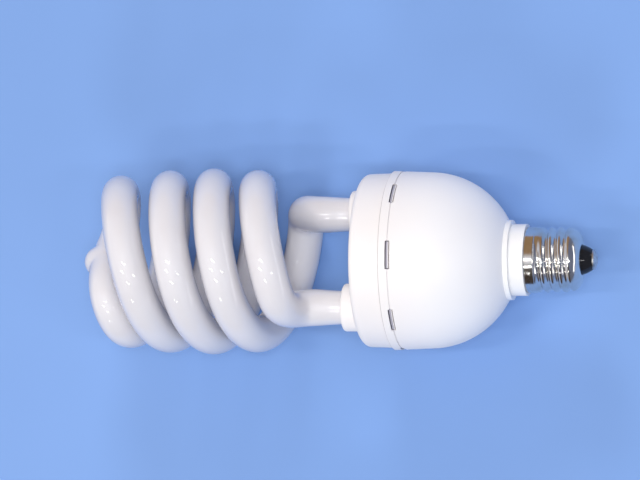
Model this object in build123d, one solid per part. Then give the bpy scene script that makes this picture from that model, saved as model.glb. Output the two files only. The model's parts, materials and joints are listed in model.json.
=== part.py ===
from build123d import *
import math
import os

# Energy saving lamp: a white double-spiral tube, a ballast housing and a large screw cap.
# It is drawn on its own axis, X, with x = 0 on the face of the housing that carries the tube
# and the cap towards +X. A clock angle turns about X from +Y towards +Z.
# At the end the whole lamp is laid on its side, as it rests on a table.

# Spiral tube
TUBE_RADIUS = 7.5
LEG_RADIUS = 6.85
COIL_RADIUS = 30.9
COIL_CROWN_SHRINK = 2.5
COIL_LEG_SHRINK = 0.9
COIL_PITCH = 37.4
COIL_STEP = 25.0
LAST_TOP = -44.9
LEG_END_CLOCK = 112.0
LEG_END_GAIN = 1.4
HALF_TURNS = 3
LEG_INSET = 14.6
LEG_CLOCK = 157.0
LEG_STRAIGHT = 11.0
LEG_TAPER = 8.5
BEND_REACH_COIL = 12.5
BEND_REACH_LEG = 12.0
LEG_BEND_STEPS = 6
CROWN_BEND = 12.0
CROWN_DROP = 7.2
CROWN_STRETCH = 0.7
CROWN_LEAN = 1.9
NOSE_RADIUS = 6.2
NOSE_RISE = 2.9
TUBE_END_DEPTH = 10.5
TUBE_END_ROUND = 3.0
PUMP_STEM_RADIUS = 1.5
PUMP_STEM_LENGTH = 4.0

# Housing
COVER_RADIUS = 35.1
COVER_CORNER = 3.0
COVER_WALL = 1.8
COVER_BAND = 12.75
COVER_DRAFT = 1.6
SOCKET_RADIUS = 9.65
SOCKET_HEIGHT = 7.1
SOCKET_ROUND = 1.1
TUBE_CLEARANCE = 0.4
SKIRT_WALL = 1.3
SKIRT_CLEARANCE = 0.12
DOME_STEP = 0.5
DOME_CENTRE = 27.0
BOWL_DRAFT = 2.5
BOWL_WALL = 1.7
RIM_LINE_DEPTH = 0.35
RIM_LINE_WIDTH = 0.5
BOARD_SEAT = 21.1
RIB_COUNT = 6
RIB_WIDTH = 1.4
RIB_REACH = 2.4
RIB_CLOCK = 18.0
LATCH_COUNT = 8
LATCH_CLOCK = 41.0
WINDOW_PLACE = 16.4
WINDOW_WIDTH = 1.9
WINDOW_LENGTH = 11.2
TAB_WIDTH = 1.0
TAB_GAP = 0.4
TAB_SINK = 0.35

# Cap
COLLAR_STEP = 1.4
COLLAR_LENGTH = 7.9
FLANGE_THICK = 1.9
FLANGE_LIP = 1.65
NECK_WALL = 1.3
NECK_LENGTH = 16.5
NECK_CLEARANCE = 0.15
SHELL_RADIUS = 13.05
SHELL_WALL = 0.35
SHELL_LENGTH = 22.1
SHELL_SHOULDER = 5.8
BAND_LENGTH = 3.8
BAND_FLARE = 0.2
THREAD_PITCH = 3.629
THREAD_DEPTH = 0.97
THREAD_ROUND = 1.3
THREAD_START = 5.34
THREAD_TURNS = 3.25
THREAD_CLOCK = 90.0
INSULATOR_RADIUS = 6.05
INSULATOR_TOP = 4.05
INSULATOR_HEIGHT = 4.1
INSULATOR_BULGE = 12.3
INSULATOR_LIP = 0.8
INSULATOR_DEPTH = 3.4
CONTACT_RISE = 1.9
CONTACT_EDGE = 0.6
RIVET_RADIUS = 1.1
RIVET_CLEARANCE = 0.1
RIVET_TAIL = 1.2

# Ballast
BOARD_THICK = 1.6
BALLAST_CLOCK = 90.0
BOARD_MARGIN = 0.6
CEMENT_HEIGHT = 3.0
CEMENT_WIDTH = 2.4
POST_SIDE = 1.0
POST_HEIGHT = 6.0
POST_SPREAD = 5.0
LEAD_RADIUS = 0.35
LEAD_SPREAD = 2.6
LEAD_HEIGHT = 2.4
LEAD_BEND = 1.2
WIRE_RADIUS = 0.7
WIRE_BEND = 2.5
WIRE_LANE = 3.0
WIRE_RISE = 24.0
LINE_WIRE_PLACE = (10.3, 92.8)
NEUTRAL_WIRE_PLACE = (11.1, -106.8)
WIRE_GAP = 0.05
BULK_RADIUS = 8.0
BULK_LENGTH = 31.5
BULK_ROUND = 1.0
BULK_GROOVE = 0.8
BULK_GROOVE_PLACE = 3.0
BULK_PLACE = (24.4, 21.1)
CORE_SIZE = (19.0, 24.0, 8.0)
CORE_LIMB = 6.0
CORE_YOKE = 3.2
CORE_PLACE = (180.0, 19.18)
BOBBIN_WALL = 0.8
BOBBIN_CLEARANCE = 0.25
WINDING_THICK = 5.4
RING_RADIUS = 5.2
RING_BORE = 2.7
RING_HEIGHT = 4.6
RING_PLACE = (-59.5, 20.18)
RING_BAND = 3.0
RING_WINDINGS = 3
RING_WIRE = 0.5
TRANSISTOR_SIZE = (15.5, 10.0, 4.4)
TRANSISTOR_TAB = (6.4, 10.0, 1.3)
TRANSISTOR_STAND = 3.0
TRANSISTOR_HOLE = 1.8
TRANSISTOR_LEG = (0.9, 0.6)
TRANSISTOR_PLACES = ((-32.3, 10.71), (-49.4, 7.65))
FILM_SIZES = ((12.5, 17.5, 6.5), (10.5, 12.5, 5.5), (8.0, 10.0, 4.0))
FILM_PLACES = ((-114.8, 11.7), (110.2, 12.93), (140.0, 7.06))
FILM_ROUND = 1.2
FILTER_RADIUS = 4.4
FILTER_CORE = 2.6
FILTER_HEIGHT = 11.0
FILTER_FLANGE = 1.3
FILTER_PLACE = (73.7, 11.82)
FUSE_RADIUS = 2.0
FUSE_LENGTH = 9.0
FUSE_ROUND = 0.7
FUSE_PLACE = (50.0, 9.04)
THERMISTOR_RADIUS = 3.8
THERMISTOR_THICK = 2.4
THERMISTOR_STAND = 1.0
THERMISTOR_LEG = 0.6
THERMISTOR_PLACE = (180.0, 5.68)
DIODE_RADIUS = 1.35
DIODE_LENGTH = 5.0
DIODE_LEAD = 0.4
DIODE_SPAN = 8.0
DIODE_PITCH = 4.2
DIODE_COUNT = 4
DIODE_INSET = 8.0
DIODE_START = 7.5

# Places that follow from the sizes above
leg_circle = COVER_RADIUS - LEG_INSET
dome_radius = COVER_RADIUS + DOME_STEP
skirt_end = BOARD_SEAT - BOARD_THICK
bowl_inner = dome_radius - BOWL_WALL
skirt_radius = bowl_inner - SKIRT_CLEARANCE
shell_bore = SHELL_RADIUS - THREAD_DEPTH - SHELL_WALL
neck_radius = shell_bore - NECK_CLEARANCE
neck_bore = neck_radius - NECK_WALL
collar_radius = SHELL_RADIUS + COLLAR_STEP
flange_radius = collar_radius + FLANGE_LIP
bowl_end = DOME_CENTRE + math.sqrt(dome_radius ** 2 - flange_radius ** 2)
shell_start = bowl_end + COLLAR_LENGTH
shell_end = shell_start + SHELL_LENGTH
leg_bore = LEG_RADIUS + TUBE_CLEARANCE
board_radius = skirt_radius - BOARD_MARGIN


def at_clock(radius, clock, x=0.0):
    """A point at a radius and clock angle round the lamp's axis."""
    turn = math.radians(clock)
    return Vector(x, radius * math.cos(turn), radius * math.sin(turn))


def turned(*edges):
    """A solid of revolution about the lamp's axis, from a profile with radius along Y."""
    return revolve(make_face(Wire(edges)), Axis.X)


def ring(start, end, outer, inner=0.0):
    """A plain ring or disc on the lamp's axis."""
    length = end - start
    body = Cylinder(outer, length)
    if inner > 0:
        body -= Cylinder(inner, length)
    return Pos(start + length / 2, 0, 0) * Rot(Y=90) * body


def on_board(place, shape):
    """Stands a shape, drawn from z = 0 upwards, on the board at a clock angle and inset."""
    clock, inset = place
    seat = at_clock(board_radius - inset, clock, BOARD_SEAT)
    return Rot(X=BALLAST_CLOCK) * Pos(*seat) * Rot(Y=90) * shape


# The spiral tube's centre line

def coil_radius(x):
    """The coil is slightly barrelled: widest in its middle, smaller at crown and legs."""
    middle = LAST_TOP - COIL_PITCH / 2
    if x < middle:
        share = min((middle - x) / (HALF_TURNS * COIL_PITCH / 2 - COIL_PITCH / 2), 1.0)
        return COIL_RADIUS - COIL_CROWN_SHRINK * share ** 2
    share = min((x - middle) / (COIL_PITCH / 2), 1.0)
    return COIL_RADIUS - COIL_LEG_SHRINK * share ** 2


def smooth(share):
    """An even start and stop between 0 and 1."""
    share = min(max(share, 0.0), 1.0)
    return share * share * (3 - 2 * share)


def coil_x(clock):
    """How far along the axis the limb that ends in the upper leg has come at a clock angle."""
    x = LAST_TOP + COIL_PITCH * clock / 360
    crown_clock = -180.0 * HALF_TURNS
    gain = LEG_END_GAIN * smooth(clock / LEG_END_CLOCK)
    return x + gain - CROWN_STRETCH * smooth((crown_clock + 180 - clock) / 180)


def crown_points():
    """From the axis out to the first turn: a straight run, then a bend into the coil."""
    start_clock = -180.0 * HALF_TURNS
    start_x = coil_x(start_clock)
    start_radius = coil_radius(LAST_TOP + COIL_PITCH * start_clock / 360)
    offset = start_radius - CROWN_BEND
    run = math.sqrt(offset ** 2 - CROWN_BEND ** 2)
    reach = math.degrees(math.atan2(CROWN_BEND, run))
    sweep_angle = 90 + reach
    bend_length = CROWN_BEND * math.radians(sweep_angle)
    total = run + bend_length
    slope = COIL_PITCH / (2 * math.pi * start_radius) * total

    def depth(travelled):
        share = 1 - travelled / total
        return start_x - (slope * share * (1 - share) ** 2 + CROWN_DROP * smooth(share))

    points = []
    centre = at_clock(offset, start_clock)
    line_clock = start_clock - reach
    for share in (0.0, 0.5):
        points.append(at_clock(run * share, line_clock, depth(run * share)))
    steps = round(sweep_angle / (2 * COIL_STEP))
    for index in range(steps):
        share = index / steps
        turn = start_clock - sweep_angle * (1 - share)
        place = centre + at_clock(CROWN_BEND, turn)
        points.append(Vector(depth(run + bend_length * share), place.Y, place.Z))
    return points


def leg_points():
    """From the last turn inwards and round into the straight leg, as one even bend."""
    radius = coil_radius(LAST_TOP + COIL_PITCH * LEG_END_CLOCK / 360)
    coil_end = at_clock(radius, LEG_END_CLOCK, coil_x(LEG_END_CLOCK))
    before = at_clock(radius, LEG_END_CLOCK - 1, coil_x(LEG_END_CLOCK - 1))
    heading = (coil_end - before).normalized()
    leg_start = at_clock(leg_circle, LEG_CLOCK, -SOCKET_HEIGHT - LEG_STRAIGHT)
    coil_handle = coil_end + heading * BEND_REACH_COIL
    leg_handle = leg_start - Vector(BEND_REACH_LEG, 0, 0)
    points = []
    for index in range(LEG_BEND_STEPS + 1):
        share = index / LEG_BEND_STEPS
        back = 1 - share
        points.append(
            coil_end * back ** 3
            + coil_handle * (3 * share * back ** 2)
            + leg_handle * (3 * share ** 2 * back)
            + leg_start * share ** 3
        )
    return points


def limb_points():
    """One limb's centre line, from the axis at the crown to the start of its leg."""
    points = crown_points()
    clock = -180.0 * HALF_TURNS
    count = round((LEG_END_CLOCK - clock) / COIL_STEP)
    for index in range(count):
        turn = clock + (LEG_END_CLOCK - clock) * index / count
        x = LAST_TOP + COIL_PITCH * turn / 360
        points.append(at_clock(coil_radius(x), turn, coil_x(turn)))
    return points + leg_points()


def leaned(point):
    """The crown stands a little further out on one side, as the hand-wound tube does."""
    crown_x = LAST_TOP - HALF_TURNS * COIL_PITCH / 2
    share = smooth((crown_x + COIL_PITCH / 2 - point.X) / (COIL_PITCH / 2))
    return Vector(point.X - CROWN_LEAN * share * point.Y / COIL_RADIUS, point.Y, point.Z)


def leg_solid():
    """One straight leg: a slight taper, the part in the socket and the sealed end."""
    length = SOCKET_HEIGHT + LEG_STRAIGHT + TUBE_END_DEPTH
    start = (0, TUBE_RADIUS)
    slim = (LEG_TAPER, LEG_RADIUS)
    round_start = (length - TUBE_END_ROUND, LEG_RADIUS)
    round_end = (length, LEG_RADIUS - TUBE_END_ROUND)
    body = turned(
        Line((0, 0), start),
        Line(start, slim),
        Line(slim, round_start),
        RadiusArc(round_start, round_end, TUBE_END_ROUND),
        Line(round_end, (length, 0)),
        Line((length, 0), (0, 0)),
    )
    return Pos(-SOCKET_HEIGHT - LEG_STRAIGHT, 0, 0) * body


def spiral_tube():
    limb = [leaned(point) for point in limb_points()]
    other = [leaned(Vector(point.X, -point.Y, -point.Z)) for point in limb_points()]
    line = Spline(other[:0:-1] + limb, tangents=[(-1, 0, 0), (1, 0, 0)], tangent_scalars=[1, 1])
    tube = sweep(Plane(line @ 0, z_dir=line % 0) * Circle(TUBE_RADIUS), path=line)
    for clock in (LEG_CLOCK, LEG_CLOCK + 180):
        place = at_clock(leg_circle, clock)
        tube += Pos(place.X, place.Y, place.Z) * leg_solid()
    stem_place = at_clock(leg_circle, LEG_CLOCK, TUBE_END_DEPTH + PUMP_STEM_LENGTH / 2)
    tube += Pos(*stem_place) * Rot(Y=90) * Cylinder(PUMP_STEM_RADIUS, PUMP_STEM_LENGTH)
    crown_x = limb[0].X
    tip = crown_x - TUBE_RADIUS - NOSE_RISE
    nose = turned(
        Line((crown_x, 0), (crown_x, NOSE_RADIUS)),
        Line((crown_x, NOSE_RADIUS), (tip + NOSE_RADIUS, NOSE_RADIUS)),
        RadiusArc((tip + NOSE_RADIUS, NOSE_RADIUS), (tip, 0), -NOSE_RADIUS),
        Line((tip, 0), (crown_x, 0)),
    )
    return tube + nose


# Housing

def bowl_radius(x):
    """Outer radius of the tapered part of the bowl."""
    draft = math.radians(BOWL_DRAFT)
    tangent_x = DOME_CENTRE + dome_radius * math.sin(draft)
    return dome_radius * math.cos(draft) + (tangent_x - x) * math.tan(draft)


def latch_clocks():
    return [LATCH_CLOCK + 360 / LATCH_COUNT * index for index in range(LATCH_COUNT)]


def tube_cover():
    band_radius = COVER_RADIUS + (COVER_BAND - COVER_CORNER) * math.tan(math.radians(COVER_DRAFT))
    outline = turned(
        Line((0, 0), (0, COVER_RADIUS - COVER_CORNER)),
        RadiusArc((0, COVER_RADIUS - COVER_CORNER), (COVER_CORNER, COVER_RADIUS), COVER_CORNER),
        Line((COVER_CORNER, COVER_RADIUS), (COVER_BAND, band_radius)),
        Line((COVER_BAND, band_radius), (COVER_BAND, skirt_radius)),
        Line((COVER_BAND, skirt_radius), (skirt_end, skirt_radius)),
        Line((skirt_end, skirt_radius), (skirt_end, 0)),
        Line((skirt_end, 0), (0, 0)),
    )
    body = outline - ring(COVER_WALL, skirt_end, skirt_radius - SKIRT_WALL)
    for clock in (LEG_CLOCK, LEG_CLOCK + 180):
        place = at_clock(leg_circle, clock)
        socket = ring(-SOCKET_HEIGHT, COVER_WALL, SOCKET_RADIUS)
        mouth = socket.edges().filter_by(GeomType.CIRCLE).sort_by(Axis.X)[0]
        socket = fillet(mouth, SOCKET_ROUND)
        body += Pos(*place) * socket
    for clock in (LEG_CLOCK, LEG_CLOCK + 180):
        place = at_clock(leg_circle, clock)
        body -= Pos(*place) * ring(-2 * SOCKET_HEIGHT, skirt_end, leg_bore)
    tab_x = WINDOW_PLACE - WINDOW_WIDTH / 2 + TAB_GAP
    tab_top = bowl_radius(WINDOW_PLACE) - TAB_SINK
    tab_ring = ring(tab_x, tab_x + TAB_WIDTH, tab_top, skirt_radius - SKIRT_WALL)
    tab_slice = Box(COVER_BAND, 2 * dome_radius, WINDOW_LENGTH - 2 * TAB_GAP)
    for clock in latch_clocks():
        body += tab_ring & (Rot(X=clock) * Pos(tab_x, dome_radius, 0) * tab_slice)
    return body


def ballast_bowl():
    draft = math.radians(BOWL_DRAFT)
    tangent = (DOME_CENTRE + dome_radius * math.sin(draft), dome_radius * math.cos(draft))
    rim = (COVER_BAND, bowl_radius(COVER_BAND))
    end = (bowl_end, flange_radius)
    outer_middle = math.radians(45)
    arc_point = (
        DOME_CENTRE + dome_radius * math.sin(outer_middle),
        dome_radius * math.cos(outer_middle),
    )
    outline = turned(
        Line((COVER_BAND, 0), rim),
        Line(rim, tangent),
        ThreePointArc(tangent, arc_point, end),
        Line(end, (bowl_end, 0)),
        Line((bowl_end, 0), (COVER_BAND, 0)),
    )
    inner_end = bowl_end - BOWL_WALL
    inner_end_radius = math.sqrt(bowl_inner ** 2 - (inner_end - DOME_CENTRE) ** 2)
    inner_middle = (
        DOME_CENTRE + bowl_inner * math.sin(outer_middle),
        bowl_inner * math.cos(outer_middle),
    )
    hollow = turned(
        Line((COVER_BAND, 0), (COVER_BAND, bowl_inner)),
        Line((COVER_BAND, bowl_inner), (DOME_CENTRE, bowl_inner)),
        ThreePointArc((DOME_CENTRE, bowl_inner), inner_middle, (inner_end, inner_end_radius)),
        Line((inner_end, inner_end_radius), (inner_end, 0)),
        Line((inner_end, 0), (COVER_BAND, 0)),
    )
    body = outline - hollow
    rib_inner = board_radius - RIB_REACH
    rib = Pos(BOARD_SEAT + dome_radius / 2, rib_inner + dome_radius / 2, 0) * Box(
        dome_radius, dome_radius, RIB_WIDTH
    )
    for index in range(RIB_COUNT):
        rib_clock = BALLAST_CLOCK + RIB_CLOCK + 360 / RIB_COUNT * index
        body += outline & (Rot(X=rib_clock) * rib)
    body += ring(inner_end, bowl_end + NECK_LENGTH, neck_radius)
    body -= ring(inner_end - BOWL_WALL, bowl_end + NECK_LENGTH, neck_bore)
    window = Pos(WINDOW_PLACE, dome_radius, 0) * Box(WINDOW_WIDTH, 4 * BOWL_WALL, WINDOW_LENGTH)
    for clock in latch_clocks():
        body -= Rot(X=clock) * window
    line_x = WINDOW_PLACE - RIM_LINE_WIDTH / 2
    line_floor = bowl_radius(WINDOW_PLACE) - RIM_LINE_DEPTH
    return body - ring(line_x, line_x + RIM_LINE_WIDTH, 2 * dome_radius, line_floor)


# Cap

def cap_collar():
    body = ring(bowl_end, shell_start, collar_radius)
    body += ring(bowl_end, bowl_end + FLANGE_THICK, flange_radius)
    return body - ring(bowl_end, shell_start, neck_radius + NECK_CLEARANCE)


def cap_shell():
    shoulder_x = shell_end - SHELL_SHOULDER
    band_radius = SHELL_RADIUS + BAND_FLARE
    band_end = shell_start + BAND_LENGTH
    eye = INSULATOR_RADIUS
    arc_radius = SHELL_RADIUS - SHELL_SHOULDER
    inner_round = SHELL_SHOULDER - SHELL_WALL
    inner_end = shell_end - SHELL_WALL
    bore_end = shoulder_x + math.sqrt(inner_round ** 2 - (shell_bore - arc_radius) ** 2)
    body = turned(
        Line((shell_start, shell_bore), (shell_start, band_radius)),
        Line((shell_start, band_radius), (band_end, band_radius)),
        Line((band_end, band_radius), (band_end + BAND_FLARE, SHELL_RADIUS)),
        Line((band_end + BAND_FLARE, SHELL_RADIUS), (shoulder_x, SHELL_RADIUS)),
        RadiusArc((shoulder_x, SHELL_RADIUS), (shell_end, arc_radius), SHELL_SHOULDER),
        Line((shell_end, arc_radius), (shell_end, eye)),
        Line((shell_end, eye), (inner_end, eye)),
        Line((inner_end, eye), (inner_end, arc_radius)),
        RadiusArc((inner_end, arc_radius), (bore_end, shell_bore), -inner_round),
        Line((bore_end, shell_bore), (shell_start, shell_bore)),
    )
    path_radius = SHELL_RADIUS + THREAD_ROUND - THREAD_DEPTH
    line = Helix(THREAD_PITCH, THREAD_PITCH * THREAD_TURNS, path_radius, direction=(1, 0, 0))
    first = line @ 0
    start_clock = math.degrees(math.atan2(first.Z, first.Y))
    groove = sweep(Plane(first, z_dir=line % 0) * Circle(THREAD_ROUND), path=line, is_frenet=True)
    for end in (first, line @ 1):
        groove += Pos(*end) * Sphere(THREAD_ROUND)
    place = Pos(shell_start + THREAD_START, 0, 0) * Rot(X=THREAD_CLOCK - start_clock)
    return body - place * groove


def cap_insulator():
    base = shell_end - SHELL_WALL
    seat = INSULATOR_RADIUS + INSULATOR_LIP
    tip = shell_end + INSULATOR_HEIGHT
    inner = base - INSULATOR_DEPTH
    body = turned(
        Line((inner, 0), (inner, seat)),
        Line((inner, seat), (base, seat)),
        Line((base, seat), (base, INSULATOR_RADIUS)),
        Line((base, INSULATOR_RADIUS), (shell_end, INSULATOR_RADIUS)),
        RadiusArc((shell_end, INSULATOR_RADIUS), (tip, INSULATOR_TOP), INSULATOR_BULGE),
        Line((tip, INSULATOR_TOP), (tip, 0)),
        Line((tip, 0), (inner, 0)),
    )
    return body - ring(inner, tip, RIVET_RADIUS + RIVET_CLEARANCE)


def centre_contact():
    base = shell_end + INSULATOR_HEIGHT
    tip = base + CONTACT_RISE
    tail = shell_end - SHELL_WALL - INSULATOR_DEPTH - RIVET_TAIL
    edge = (base + CONTACT_EDGE, INSULATOR_TOP)
    rise = CONTACT_RISE - CONTACT_EDGE
    dome_radius = (INSULATOR_TOP ** 2 + rise ** 2) / (2 * rise)
    dome = turned(
        Line((base, 0), (base, INSULATOR_TOP)),
        Line((base, INSULATOR_TOP), edge),
        RadiusArc(edge, (tip, 0), dome_radius),
        Line((tip, 0), (base, 0)),
    )
    return dome + ring(tail, base + CONTACT_EDGE, RIVET_RADIUS)


# Ballast

def circuit_board():
    return ring(skirt_end, BOARD_SEAT, board_radius)


def cement_ring(clock):
    place = at_clock(leg_circle, clock)
    cement = ring(COVER_WALL, COVER_WALL + CEMENT_HEIGHT, LEG_RADIUS + CEMENT_WIDTH, LEG_RADIUS)
    return Pos(*place) * cement


def wrap_post(clock, side):
    """A square post on the tube side of the board, that a tube lead is wound on."""
    place = at_clock(leg_circle, clock)
    post = Box(POST_HEIGHT, POST_SIDE, POST_SIDE)
    return Pos(skirt_end - POST_HEIGHT / 2, place.Y, place.Z + side * POST_SPREAD) * post


def filament_lead(clock, side):
    """A bare lead from the sealed end of the tube to the side of its post."""
    place = at_clock(leg_circle, clock)
    start = Vector(TUBE_END_DEPTH, place.Y, place.Z + side * LEAD_SPREAD)
    post_face = place.Z + side * (POST_SPREAD - POST_SIDE / 2)
    height = skirt_end - LEAD_HEIGHT
    corner = Vector(height, place.Y, start.Z)
    line = FilletPolyline(start, corner, Vector(height, place.Y, post_face), radius=LEAD_BEND)
    return sweep(Plane(line @ 0, z_dir=line % 0) * Circle(LEAD_RADIUS), path=line)


def wire(*points):
    line = FilletPolyline(*points, radius=WIRE_BEND)
    return sweep(Plane(line @ 0, z_dir=line % 0) * Circle(WIRE_RADIUS), path=line)


def line_wire():
    """From the board to the tail of the centre contact."""
    tail = shell_end - SHELL_WALL - INSULATOR_DEPTH - RIVET_TAIL
    radius, clock = LINE_WIRE_PLACE
    return wire(
        at_clock(radius, clock + BALLAST_CLOCK, BOARD_SEAT),
        at_clock(radius, clock + BALLAST_CLOCK, BOARD_SEAT + WIRE_RISE),
        Vector(bowl_end, 0, WIRE_LANE),
        Vector(shell_start, 0, WIRE_LANE),
        Vector(tail - 2 * WIRE_BEND, 0, 0),
        Vector(tail, 0, 0),
    )


def neutral_wire():
    """From the board through the neck and outwards to the wall of the screw shell."""
    turn = bowl_end + NECK_LENGTH + 2 * WIRE_RADIUS
    radius, clock = NEUTRAL_WIRE_PLACE
    return wire(
        at_clock(radius, clock + BALLAST_CLOCK, BOARD_SEAT),
        at_clock(radius, clock + BALLAST_CLOCK, BOARD_SEAT + WIRE_RISE),
        Vector(bowl_end, 0, -WIRE_LANE),
        Vector(turn, 0, -WIRE_LANE),
        Vector(turn, 0, WIRE_GAP - shell_bore),
    )


def bulk_capacitor():
    can = Cylinder(BULK_RADIUS, BULK_LENGTH, align=(Align.CENTER, Align.CENTER, Align.MIN))
    can = fillet(can.edges().filter_by(GeomType.CIRCLE).sort_by(Axis.Z)[-1], BULK_ROUND)
    can -= Pos(0, 0, BULK_GROOVE_PLACE) * Torus(BULK_RADIUS, BULK_GROOVE)
    return on_board(BULK_PLACE, can)


def choke_core():
    height, width, depth = CORE_SIZE
    low = (Align.CENTER, Align.CENTER, Align.MIN)
    block = Box(width, depth, height, align=low)
    window = (width - CORE_LIMB - 2 * CORE_YOKE) / 2
    slot = Box(window, 2 * depth, height - 2 * CORE_YOKE, align=low)
    for side in (-1, 1):
        block -= Pos(side * (CORE_LIMB + window) / 2, 0, CORE_YOKE) * slot
    return on_board(CORE_PLACE, block)


def choke_bobbin():
    """A spool on the core's middle limb, with a flange at each end."""
    height, width, depth = CORE_SIZE
    inner = CORE_LIMB + 2 * BOBBIN_CLEARANCE
    inner_depth = depth + 2 * BOBBIN_CLEARANCE
    spool_height = height - 2 * CORE_YOKE - 2 * BOBBIN_CLEARANCE
    low = (Align.CENTER, Align.CENTER, Align.MIN)
    spool = Box(inner + 2 * BOBBIN_WALL, inner_depth + 2 * BOBBIN_WALL, spool_height, align=low)
    reach = width - 2 * CORE_YOKE - 2 * BOBBIN_CLEARANCE
    flange = Box(reach, inner_depth + 2 * WINDING_THICK, BOBBIN_WALL, align=low)
    spool += flange
    spool += Pos(0, 0, spool_height - BOBBIN_WALL) * flange
    spool -= Box(inner, inner_depth, 3 * spool_height)
    return on_board(CORE_PLACE, Pos(0, 0, CORE_YOKE + BOBBIN_CLEARANCE) * spool)


def choke_winding():
    height, width, depth = CORE_SIZE
    inner = CORE_LIMB + 2 * BOBBIN_CLEARANCE + 2 * BOBBIN_WALL
    inner_depth = depth + 2 * BOBBIN_CLEARANCE + 2 * BOBBIN_WALL
    outer = width - 2 * CORE_YOKE - 4 * BOBBIN_CLEARANCE
    outer_depth = inner_depth + outer - inner
    length = height - 2 * CORE_YOKE - 2 * BOBBIN_CLEARANCE - 2 * BOBBIN_WALL
    low = (Align.CENTER, Align.CENTER, Align.MIN)
    coil = Box(outer, outer_depth, length, align=low)
    coil = fillet(coil.edges().filter_by(Axis.Z), (outer - inner) / 2)
    coil -= Box(inner, inner_depth, 3 * length)
    return on_board(CORE_PLACE, Pos(0, 0, CORE_YOKE + BOBBIN_CLEARANCE + BOBBIN_WALL) * coil)


def drive_transformer():
    """A small ring core that lies flat over the board on its windings."""
    low = (Align.CENTER, Align.CENTER, Align.MIN)
    core = Cylinder(RING_RADIUS, RING_HEIGHT, align=low) - Cylinder(RING_BORE, 3 * RING_HEIGHT)
    return on_board(RING_PLACE, Pos(0, 0, RING_WIRE) * core)


def drive_winding(index):
    """One of the three windings on the ring core, its turns lying side by side."""
    low = (Align.CENTER, Align.CENTER, Align.MIN)
    outer = RING_RADIUS + RING_WIRE
    height = RING_HEIGHT + 2 * RING_WIRE
    band = Box(RING_BAND, 2 * outer, height, align=(Align.CENTER, Align.MIN, Align.MIN))
    shell = Cylinder(outer, height, align=low)
    shell -= Cylinder(RING_BORE - RING_WIRE, 3 * RING_HEIGHT)
    shell -= Pos(0, 0, RING_WIRE) * (
        Cylinder(RING_RADIUS, RING_HEIGHT, align=low) - Cylinder(RING_BORE, 3 * RING_HEIGHT)
    )
    return on_board(RING_PLACE, Rot(Z=360 / RING_WINDINGS * index) * (shell & band))


def transistor(index):
    """A plastic power package with its metal tab, standing on three legs."""
    height, width, depth = TRANSISTOR_SIZE
    tab_height, tab_width, tab_thick = TRANSISTOR_TAB
    low = (Align.CENTER, Align.MIN, Align.MIN)
    hole_height = TRANSISTOR_STAND + height - tab_height / 2
    body = Pos(0, 0, TRANSISTOR_STAND) * Box(width, depth, height - tab_height, align=low)
    body += Pos(0, 0, TRANSISTOR_STAND) * Box(tab_width, tab_thick, height, align=low)
    body -= Pos(0, 0, hole_height) * Rot(X=90) * Cylinder(TRANSISTOR_HOLE, 4 * depth)
    leg = Box(*TRANSISTOR_LEG, TRANSISTOR_STAND, align=low)
    for side in (-1, 0, 1):
        body += Pos(side * width / 4, depth / 2, 0) * leg
    return on_board(TRANSISTOR_PLACES[index], Rot(Z=90) * body)


def film_capacitor(index):
    """A dipped or boxed film capacitor, with rounded upright edges."""
    height, width, depth = FILM_SIZES[index]
    body = Box(depth, width, height, align=(Align.CENTER, Align.CENTER, Align.MIN))
    body = fillet(body.edges().filter_by(Axis.Z), FILM_ROUND)
    return on_board(FILM_PLACES[index], body)


def filter_choke():
    """A drum core: two flanges and the waist that its wire is wound on."""
    low = (Align.CENTER, Align.CENTER, Align.MIN)
    flange = Cylinder(FILTER_RADIUS, FILTER_FLANGE, align=low)
    core = Cylinder(FILTER_CORE, FILTER_HEIGHT, align=low) + flange
    core += Pos(0, 0, FILTER_HEIGHT - FILTER_FLANGE) * flange
    return on_board(FILTER_PLACE, core)


def filter_winding():
    low = (Align.CENTER, Align.CENTER, Align.MIN)
    length = FILTER_HEIGHT - 2 * FILTER_FLANGE
    coil = Cylinder(FILTER_RADIUS - RING_WIRE, length, align=low) - Cylinder(FILTER_CORE, 3 * length)
    return on_board(FILTER_PLACE, Pos(0, 0, FILTER_FLANGE) * coil)


def input_fuse():
    """A fusible resistor that stands on end."""
    body = Cylinder(FUSE_RADIUS, FUSE_LENGTH, align=(Align.CENTER, Align.CENTER, Align.MIN))
    return on_board(FUSE_PLACE, fillet(body.edges().filter_by(GeomType.CIRCLE), FUSE_ROUND))


def thermistor():
    """A preheat thermistor: a disc that stands on its edge on two legs."""
    low = (Align.CENTER, Align.CENTER, Align.MIN)
    centre = Pos(0, 0, THERMISTOR_STAND + THERMISTOR_RADIUS)
    disc = centre * Rot(X=90) * Cylinder(THERMISTOR_RADIUS, THERMISTOR_THICK)
    leg = Box(THERMISTOR_LEG, THERMISTOR_LEG, THERMISTOR_RADIUS, align=low)
    for side in (-1, 1):
        disc += Pos(side * THERMISTOR_RADIUS / 2, 0, 0) * leg
    return on_board(THERMISTOR_PLACE, disc)


def rectifier_diode(index):
    """An axial diode, with both of its leads bent down to the board."""
    lift = DIODE_RADIUS + DIODE_LEAD
    half = DIODE_SPAN / 2
    points = ((-half, 0, 0), (-half, 0, lift), (half, 0, lift), (half, 0, 0))
    line = FilletPolyline(*points, radius=DIODE_LEAD * 2)
    lead = sweep(Plane(line @ 0, z_dir=line % 0) * Circle(DIODE_LEAD), path=line)
    body = Pos(0, 0, lift) * Rot(Y=90) * Cylinder(DIODE_RADIUS, DIODE_LENGTH)
    side = DIODE_START - index * DIODE_PITCH
    seat = Pos(BOARD_SEAT, board_radius - DIODE_INSET, side)
    return Rot(X=BALLAST_CLOCK) * seat * Rot(Y=90) * Rot(Z=90) * (body + lead)


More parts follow.
